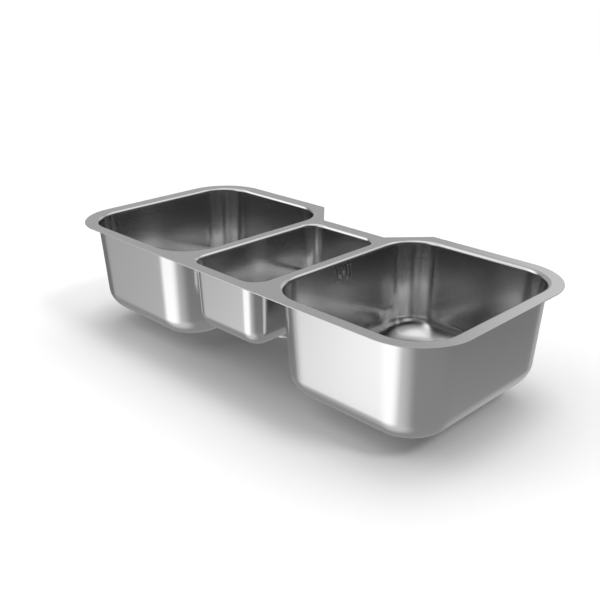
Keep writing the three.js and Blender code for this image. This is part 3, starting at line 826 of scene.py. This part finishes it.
def nut_mesh():
    """A turned ring, with six groups of its outer faces pushed out as lugs for a spanner."""
    low, high = NUT_TOP - NUT_HEIGHT, NUT_TOP
    inner = CUP_RADIUS + SEAT_GAP
    profile = [(inner, low), (NUT_RADIUS, low), (NUT_RADIUS, high), (inner, high), (inner, low)]
    bm = spun(profile, NUT_STEPS)
    lugs = []
    for face in bm.faces:
        middle = face.calc_center_median()
        if abs(face.normal.z) < 0.5 and middle.xy.length > (inner + NUT_RADIUS) / 2:
            turn = math.atan2(middle.y, middle.x) % math.tau
            step = math.floor(turn / math.tau * NUT_STEPS)
            if (step + LUG_FACES // 2) % LUG_PERIOD < LUG_FACES:
                lugs.append(face)
    verts = new_verts(bmesh.ops.extrude_face_region(bm, geom=lugs)["geom"])
    bmesh.ops.delete(bm, geom=lugs, context="FACES")
    grown = LUG_RADIUS / NUT_RADIUS
    bmesh.ops.scale(bm, verts=verts, vec=(grown, grown, 1))
    recalculate(bm)
    soften_edges(bm, NUT_EDGE)
    return bm


# %% The basket, its stopper and its knob
BASKET_FLOOR_RADIUS = 32 * MM
BASKET_TOP_RADIUS = 39 * MM
BASKET_LIP = 1.6 * MM
FLOOR_HOLES = 12
FLOOR_HOLE_RADIUS = 2 * MM
FLOOR_HOLE_CIRCLE = 28 * MM
WALL_SLOTS = 16
WALL_SLOT_WIDTH = 3 * MM
WALL_SLOT_HEIGHT = 11 * MM
POST_RADIUS = 3 * MM
KNOB_RADIUS = 8 * MM
KNOB_HEIGHT = 6 * MM
KNOB_TOP = -2 * MM
STOPPER_RADIUS = 25 * MM


def turned_by(bm, turns):
    """Turns a bmesh about Z by a share of a full turn."""
    matrix = Matrix.Rotation(turns * math.tau, 3, "Z")
    bmesh.ops.rotate(bm, verts=bm.verts, cent=(0, 0, 0), matrix=matrix)
    return bm


def basket_mesh():
    """A basket of thin sheet with a rolled lip, holes in its floor and slots in its wall."""
    lip = BASKET_TOP_RADIUS + BASKET_LIP
    bore = POST_RADIUS + SEAT_GAP
    half = BASKET_SHEET / 2
    inner_low = BASKET_LOW + BASKET_SHEET
    profile = [
        (bore, BASKET_LOW),
        (BASKET_FLOOR_RADIUS - 2 * MM, BASKET_LOW),
        (BASKET_FLOOR_RADIUS - 0.6 * MM, BASKET_LOW + 0.5 * MM),
        (BASKET_FLOOR_RADIUS + 0.4 * MM, BASKET_LOW + 2 * MM),
        (BASKET_TOP_RADIUS, BASKET_TOP - BASKET_SHEET),
    ]
    profile += bend(lip - half, BASKET_TOP - half, half, -90, 90, 4)
    profile += [
        (BASKET_TOP_RADIUS - BASKET_SHEET, BASKET_TOP),
        (BASKET_FLOOR_RADIUS - BASKET_SHEET, inner_low + 1.2 * MM),
        (BASKET_FLOOR_RADIUS - 2.4 * MM, inner_low),
        (bore, inner_low),
        (bore, BASKET_LOW),
    ]
    tools = []
    for number in range(FLOOR_HOLES):
        drill = bmesh.new()
        bmesh.ops.create_cone(
            drill, cap_ends=True, segments=20, radius1=FLOOR_HOLE_RADIUS,
            radius2=FLOOR_HOLE_RADIUS, depth=2 * CUT_OVERRUN,
        )
        bmesh.ops.translate(drill, verts=drill.verts, vec=(FLOOR_HOLE_CIRCLE, 0, BASKET_LOW))
        tools.append(turned_by(drill, number / FLOOR_HOLES))
    radius = WALL_SLOT_WIDTH / 2
    half_straight = WALL_SLOT_HEIGHT / 2 - radius
    ends = (BASKET_FLOOR_RADIUS - 3 * CUT_OVERRUN, BASKET_TOP_RADIUS + CUT_OVERRUN)
    for number in range(WALL_SLOTS):
        slot = stack([round_ended(x, radius, half_straight, upright=True, steps=16) for x in ends])
        bmesh.ops.translate(slot, verts=slot.verts, vec=(0, 0, (BASKET_LOW + BASKET_TOP) / 2))
        tools.append(turned_by(slot, (number + 0.5) / WALL_SLOTS))
    return boolean(spun(profile), gather(tools), "DIFFERENCE")


def stopper_mesh():
    """A rubber disc that tapers upwards, bored for the post."""
    bore = POST_RADIUS + SEAT_GAP
    top = STOPPER_LOW + STOPPER_THICKNESS
    profile = [
        (bore, STOPPER_LOW),
        (STOPPER_RADIUS - 0.4 * MM, STOPPER_LOW),
        (STOPPER_RADIUS, STOPPER_LOW + 0.4 * MM),
        (STOPPER_RADIUS, STOPPER_LOW + 1.2 * MM),
        (STOPPER_RADIUS - 2.8 * MM, top - 0.3 * MM),
        (STOPPER_RADIUS - 3.2 * MM, top),
        (bore, top),
        (bore, STOPPER_LOW),
    ]
    return spun(profile)


def knob_mesh():
    """The post with its round knob."""
    shoulder = KNOB_TOP - KNOB_HEIGHT
    edge = KNOB_HEIGHT / 2
    profile = [
        (0, STOPPER_LOW),
        (POST_RADIUS - 0.4 * MM, STOPPER_LOW),
        (POST_RADIUS, STOPPER_LOW + 0.4 * MM),
        (POST_RADIUS, shoulder - 1.2 * MM),
        (POST_RADIUS + 0.5 * MM, shoulder - 0.3 * MM),
        (POST_RADIUS + 1.6 * MM, shoulder),
    ]
    profile += bend(KNOB_RADIUS - edge, shoulder + edge, edge, -90, 90, 12)
    profile += [(KNOB_RADIUS - edge - 1.2 * MM, KNOB_TOP - 0.15 * MM), (0, KNOB_TOP - 0.4 * MM)]
    return spun(profile, 64)


# %% Make the three strainers


def hang(bm, facts):
    """Moves a drain piece from its own heights to its bowl."""
    place = facts["centre"] + Vector((0, 0, -facts["depth"] - FLOOR_FALL))
    bmesh.ops.translate(bm, verts=bm.verts, vec=place)
    return bm


for side, facts in bowls.items():
    moving = side + "_strainer"
    backing_low = BACKING_TOP - BACKING
    backing_bore = CUP_RADIUS + SEAT_GAP
    backing = ring_mesh(backing_bore, BACKING_RADIUS, backing_low, BACKING_TOP, BACKING_EDGE)
    gasket_top = FLANGE_LOW - SEAT_GAP
    gasket_low = gasket_top - GASKET
    gasket = ring_mesh(GASKET_BORE, GASKET_RADIUS, gasket_low, gasket_top, GASKET_EDGE)
    pieces = [
        ("cup_turned", cup_mesh(), strainer_steel, "drain_cup", "sink"),
        ("gasket_ring", gasket, black_rubber, "drain_gasket", "sink"),
        ("backing_ring", backing, black_rubber, "backing_washer", "sink"),
        ("ring_nut", nut_mesh(), nut_steel, "lock_nut", "sink"),
        ("basket_turned", basket_mesh(), strainer_steel, "basket", moving),
        ("stopper_disc", stopper_mesh(), black_rubber, "stopper", moving),
        ("pull_knob", knob_mesh(), strainer_steel, "knob", moving),
    ]
    for name, bm, finish, node, body in pieces:
        finish_piece(side + "_" + name, hang(bm, facts), finish, side + "_" + node, body)

# %% [markdown]
# ## The overflow's housing, gasket and screw
#
# The housing is a moulded tray with its open side against the bowl, a spigot for a hose under it
# and a boss that the screw bites into. The gasket has the tray's outline.

# %% Build the overflow pieces
HOUSING_HALF_HEIGHT = 18 * MM
HOUSING_HALF_STRAIGHT = 16 * MM
HOUSING_WALL = 2.5 * MM
HOUSING_DEPTH = 16 * MM
HOUSING_EDGE = 2 * MM
OVERFLOW_GASKET = 2.5 * MM
BOSS_RADIUS = 4.6 * MM
SPIGOT_RADIUS = 7.5 * MM
SPIGOT_WALL = 2 * MM
SPIGOT_LENGTH = 22 * MM
SCREW_GRIP = 9 * MM
CROSS_LENGTH = 4.2 * MM
CROSS_WIDTH = 0.9 * MM
CROSS_HEIGHT = 1.8 * MM
HOUSING_FRONT = -(SHEET + OVERFLOW_GASKET + 2 * SEAT_GAP)
HOUSING_BACK = HOUSING_FRONT - HOUSING_DEPTH


def upright_bar(radius, low, high, x):
    """A round bar along Z."""
    bm = bmesh.new()
    bmesh.ops.create_cone(
        bm, cap_ends=True, segments=32, radius1=radius, radius2=radius, depth=high - low,
    )
    bmesh.ops.translate(bm, verts=bm.verts, vec=(x, 0, (low + high) / 2))
    return bm


def tray_block(levels, shrink=0.0):
    """A closed block with the housing's round-ended outline, grown or shrunk level by level."""
    outlines = []
    for x, grown in levels:
        radius = HOUSING_HALF_HEIGHT - shrink + grown
        outlines.append(round_ended(x, radius, HOUSING_HALF_STRAIGHT, steps=64))
    return stack(outlines)


def housing_mesh():
    """The tray with its spigot, its boss and the screw's pilot hole."""
    cavity = HOUSING_HALF_HEIGHT - HOUSING_WALL
    rounding = bend(-HOUSING_EDGE, HOUSING_EDGE, HOUSING_EDGE, 0, -90, 5)
    back_edge = [(HOUSING_BACK + depth, grown) for grown, depth in rounding]
    body = tray_block([(HOUSING_FRONT, 0.0)] + back_edge)
    inner_edge = [(HOUSING_BACK + HOUSING_WALL + depth, grown) for grown, depth in rounding]
    hollow = tray_block([(HOUSING_FRONT + CUT_OVERRUN, 0.0)] + inner_edge, HOUSING_WALL)
    body = boolean(body, hollow, "DIFFERENCE")
    middle = (HOUSING_FRONT + HOUSING_BACK) / 2
    low = -HOUSING_HALF_HEIGHT - SPIGOT_LENGTH
    body = boolean(body, upright_bar(SPIGOT_RADIUS, low, -cavity, middle), "UNION")
    bore_radius = SPIGOT_RADIUS - SPIGOT_WALL
    bore = upright_bar(bore_radius, low - CUT_OVERRUN, -cavity + CUT_OVERRUN, middle)
    body = boolean(body, bore, "DIFFERENCE")
    body = boolean(body, bar(BOSS_RADIUS, HOUSING_FRONT, HOUSING_BACK + HOUSING_WALL / 2), "UNION")
    pilot = bar(SCREW_RADIUS + SEAT_GAP, HOUSING_FRONT + CUT_OVERRUN, HOUSING_FRONT - SCREW_GRIP)
    return boolean(body, pilot, "DIFFERENCE")


def overflow_gasket_mesh():
    """A frame of rubber with the tray's outline."""
    front = -SHEET - SEAT_GAP
    pad = tray_block([(front, 0.0), (front - OVERFLOW_GASKET, 0.0)])
    back = front - OVERFLOW_GASKET - CUT_OVERRUN
    window = tray_block([(front + CUT_OVERRUN, 0.0), (back, 0.0)], HOUSING_WALL)
    return boolean(pad, window, "DIFFERENCE")


def screw_mesh():
    """A pan head screw with a cross recess, turned about Z and then laid along X."""
    head = 3.8 * MM
    tall = 2.2 * MM
    tip = -(HOUSING_FRONT - SCREW_GRIP + SEAT_GAP)
    profile = [
        (0, tip),
        (SCREW_RADIUS - 0.5 * MM, tip),
        (SCREW_RADIUS, tip - 0.5 * MM),
        (SCREW_RADIUS, -SEAT_GAP),
        (head, -SEAT_GAP),
        (head, -SEAT_GAP - tall * 0.35),
    ]
    profile += bend(head - tall * 0.6, -SEAT_GAP - tall * 0.4, tall * 0.6, 0, -90, 6)
    profile += [(0, -SEAT_GAP - tall)]
    screw = spun(profile, 48)
    for wide, deep in ((CROSS_LENGTH, CROSS_WIDTH), (CROSS_WIDTH, CROSS_LENGTH)):
        blade = bmesh.new()
        bmesh.ops.create_cube(blade, size=1)
        bmesh.ops.scale(blade, verts=blade.verts, vec=(wide, deep, CROSS_HEIGHT))
        bmesh.ops.translate(blade, verts=blade.verts, vec=(0, 0, -SEAT_GAP - tall))
        screw = boolean(screw, blade, "DIFFERENCE")
    bmesh.ops.transform(screw, verts=screw.verts, matrix=Matrix.Rotation(-math.pi / 2, 4, "Y"))
    return screw


overflow_pieces = [
    ("overflow_tray", housing_mesh(), housing_plastic, "overflow_housing"),
    ("overflow_seal", overflow_gasket_mesh(), black_rubber, "overflow_gasket"),
    ("overflow_pan_screw", screw_mesh(), strainer_steel, "overflow_screw"),
]
for name, bm, finish, node in overflow_pieces:
    finish_piece(name, onto_overflow_wall(bm), finish, node, "sink")

# %% [markdown]
# ## Floor and light
#
# The sink stands on a white floor that runs into a white background. Polished metal shows its
# surroundings, so the studio round it is laid out patch by patch, as directions in the sky: a
# broad soft light overhead, a row of key lights at the front left, a smaller one behind, a dark
# card at the right and a pale floor below, brighter in front. A negative patch is a card that
# takes light away. The white backdrop is seen by the camera all round. The steel and the glossy
# plastic see it only behind the sink, where the deck mirrors it. Three soft lamps that the steel
# doesn't mirror give the floor its level and the sink its shadow.

# %% The floor
FLOOR_SIZE = 12.0
FLOOR_WHITE = 0.9
floor_grid = bmesh.new()
bmesh.ops.create_grid(floor_grid, x_segments=4, y_segments=4, size=FLOOR_SIZE / 2)
floor = scratch_object(floor_grid)
floor.name = floor.data.name = "floor"
floor_paint, floor_shader, _, _ = material("floor_white")
floor_shader.inputs["Base Color"].default_value = (FLOOR_WHITE, FLOOR_WHITE, FLOOR_WHITE, 1.0)
floor_shader.inputs["Roughness"].default_value = 1.0
floor_shader.inputs["Specular IOR Level"].default_value = 0.0
floor.data.materials.append(floor_paint)
floor.visible_glossy = False

# %% The sky
world = bpy.data.worlds.new("studio")
world.use_nodes = True
bpy.context.scene.world = world
tree = world.node_tree
tree.nodes.clear()


def sky_node(kind, inputs=None, **settings):
    """Adds a node to the sky, with its settings and with values or links for its inputs."""
    node = tree.nodes.new(kind)
    for key, value in settings.items():
        setattr(node, key, value)
    for key, value in (inputs or {}).items():
        if isinstance(value, bpy.types.NodeSocket):
            tree.links.new(value, node.inputs[key])
        else:
            node.inputs[key].default_value = value
    return node


def sky_math(operation, first, second):
    """The result of a sum or a product of two values."""
    inputs = {0: first, 1: second}
    return sky_node("ShaderNodeMath", inputs, operation=operation).outputs["Value"]


SURROUND = 0.09
direction = sky_node("ShaderNodeTexCoord").outputs["Generated"]


def step_up(value, start, end, strength):
    """Light that comes in softly while a value goes from a start to an end."""
    return sky_node("ShaderNodeMapRange", {
        "Value": value, "From Min": start, "From Max": end, "To Min": 0.0, "To Max": strength,
    }, interpolation_type="SMOOTHSTEP").outputs["Result"]


def patch(azimuth, elevation, inner, outer, strength):
    """A round bright patch of sky: full inside one angle, gone outside another, in degrees."""
    sides = {0: direction, 1: direction_to(azimuth, elevation)}
    near = sky_node("ShaderNodeVectorMath", sides, operation="DOT_PRODUCT").outputs["Value"]
    return step_up(near, math.cos(math.radians(outer)), math.cos(math.radians(inner)), strength)


def by_height(start, end, strength):
    """Light that comes in between two elevations, in degrees, all the way round."""
    height = sky_node("ShaderNodeSeparateXYZ", {"Vector": direction}).outputs["Z"]
    return step_up(height, math.sin(math.radians(start)), math.sin(math.radians(end)), strength)


def add_up(values):
    """The sum of several values."""
    total = values[0]
    for value in values[1:]:
        total = sky_math("ADD", total, value)
    return total


overhead = [
    by_height(35, 60, 0.60),
    patch(-40, 80, 10, 35, 0.45),
    patch(0, 90, 5, 30, 0.30),
    patch(65, 55, 5, 35, -0.15),
]
front_left = [
    patch(-65, 45, 5, 18, 1.20),
    patch(-55, 25, 5, 18, 1.70),
    patch(-35, 30, 5, 12, 0.50),
    patch(-20, 35, 5, 30, 0.70),
    patch(-10, 35, 5, 15, 0.70),
]
behind = [patch(155, 45, 10, 30, 0.85)]
pale_floor = [
    by_height(0, -10, 0.15),
    by_height(-25, -35, 0.15),
    patch(-50, -25, 5, 20, 0.45),
    patch(-20, -25, 5, 30, 1.00),
    patch(-10, -45, 5, 45, 0.55),
    patch(180, -25, 5, 25, 0.30),
]
glow = add_up(overhead + front_left + behind + pale_floor)
glow = sky_math("ADD", glow, SURROUND)
backdrop = add_up([patch(-120, 25, 20, 45, 0.50), patch(-170, 20, 10, 25, 0.70)])
ray = sky_node("ShaderNodeLightPath")
mirrored = sky_math("ADD", ray.outputs["Is Glossy Ray"], ray.outputs["Is Transmission Ray"])
shown = sky_math("ADD", ray.outputs["Is Camera Ray"], sky_math("MULTIPLY", mirrored, backdrop))
seen = sky_node("ShaderNodeMix", {0: shown, 2: glow, 3: 1.0}).outputs[0]
background = sky_node("ShaderNodeBackground", {"Color": (1, 1, 1, 1), "Strength": seen})
output = sky_node("ShaderNodeOutputWorld")
tree.links.new(background.outputs["Background"], output.inputs["Surface"])

# %% Three lamps for the floor


def soft_lamp(name, azimuth, elevation, width, strength):
    """A far lamp with a wide face, given in degrees. The steel doesn't mirror it."""
    data = bpy.data.lights.new(name, "SUN")
    data.angle = math.radians(width)
    data.energy = strength
    lamp = bpy.data.objects.new(name, data)
    lamp.rotation_euler = direction_to(azimuth, elevation).to_track_quat("Z", "Y").to_euler()
    lamp.visible_glossy = False
    bpy.context.scene.collection.objects.link(lamp)


soft_lamp("overhead_lamp", 0, 90, 20, 0.35)
soft_lamp("rear_lamp", -150, 65, 45, 0.65)
soft_lamp("side_lamp", 100, 50, 15, 0.70)

# %% [markdown]
# ## Finish
#
# The colours are shown as they are, without a film look.

# %% Finish
bpy.context.scene.view_settings.view_transform = "Standard"
